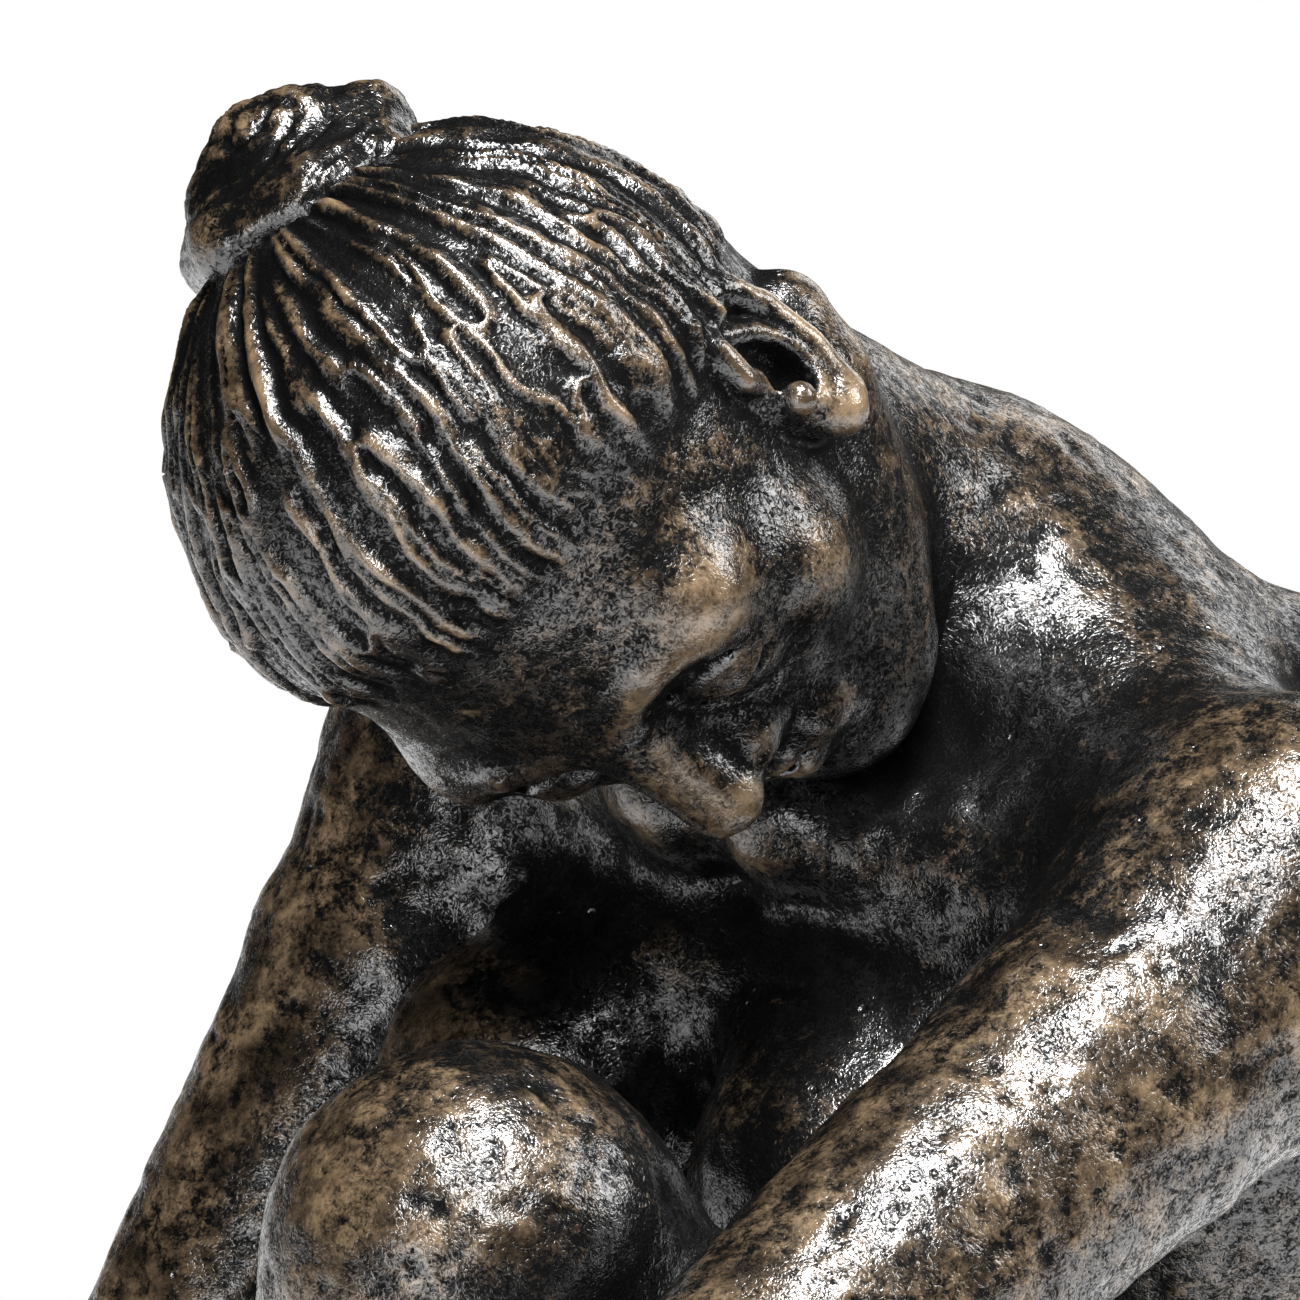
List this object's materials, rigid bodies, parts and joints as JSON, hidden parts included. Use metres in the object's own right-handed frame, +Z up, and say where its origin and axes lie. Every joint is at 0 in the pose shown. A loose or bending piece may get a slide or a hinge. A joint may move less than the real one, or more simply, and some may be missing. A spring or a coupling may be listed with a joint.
{
  "type": "seated figurine",
  "caption": "Seated female figurine folded over one raised knee, hair in a high bun, dark bronze-finish resin castings pinned together on an oval plinth; a free-standing ornament.",
  "frame": {"origin": "centre of the underside of the felt, on the surface it stands on", "axes": "+Z up; the figure faces -Y with its left side towards +X; the plinth's long axis lies along Y"},
  "size_m": [0.12, 0.16, 0.1491],
  "materials": {
    "bronzed_resin": "cold-cast resin, near-black with tan bronze dry-brushing under a gloss varnish",
    "plinth_resin": "cold-cast resin, near-black with a brushed bronze edge",
    "steel": "bright drawn steel",
    "iron": "bare grey iron",
    "felt": "dark green wool felt",
    "plug_resin": "plain poured resin"
  },
  "bodies": {
    "root": {"base_felt": "felt", "plinth": "plinth_resin", "torso": "bronzed_resin", "head": "bronzed_resin", "hair_bun": "bronzed_resin", "left_arm": "bronzed_resin", "right_arm": "bronzed_resin", "left_leg": "bronzed_resin", "right_leg": "bronzed_resin", "neck_pin": "steel", "bun_pin": "steel", "left_shoulder_pin": "steel", "right_shoulder_pin": "steel", "left_hip_pin": "steel", "right_hip_pin": "steel", "left_foot_pin": "steel", "right_knee_pin": "steel", "seat_screw_left": "steel", "seat_screw_right": "steel", "seat_washer_left": "steel", "seat_washer_right": "steel", "ballast": "iron", "ballast_plug": "plug_resin"}
  },
  "joints": []
}
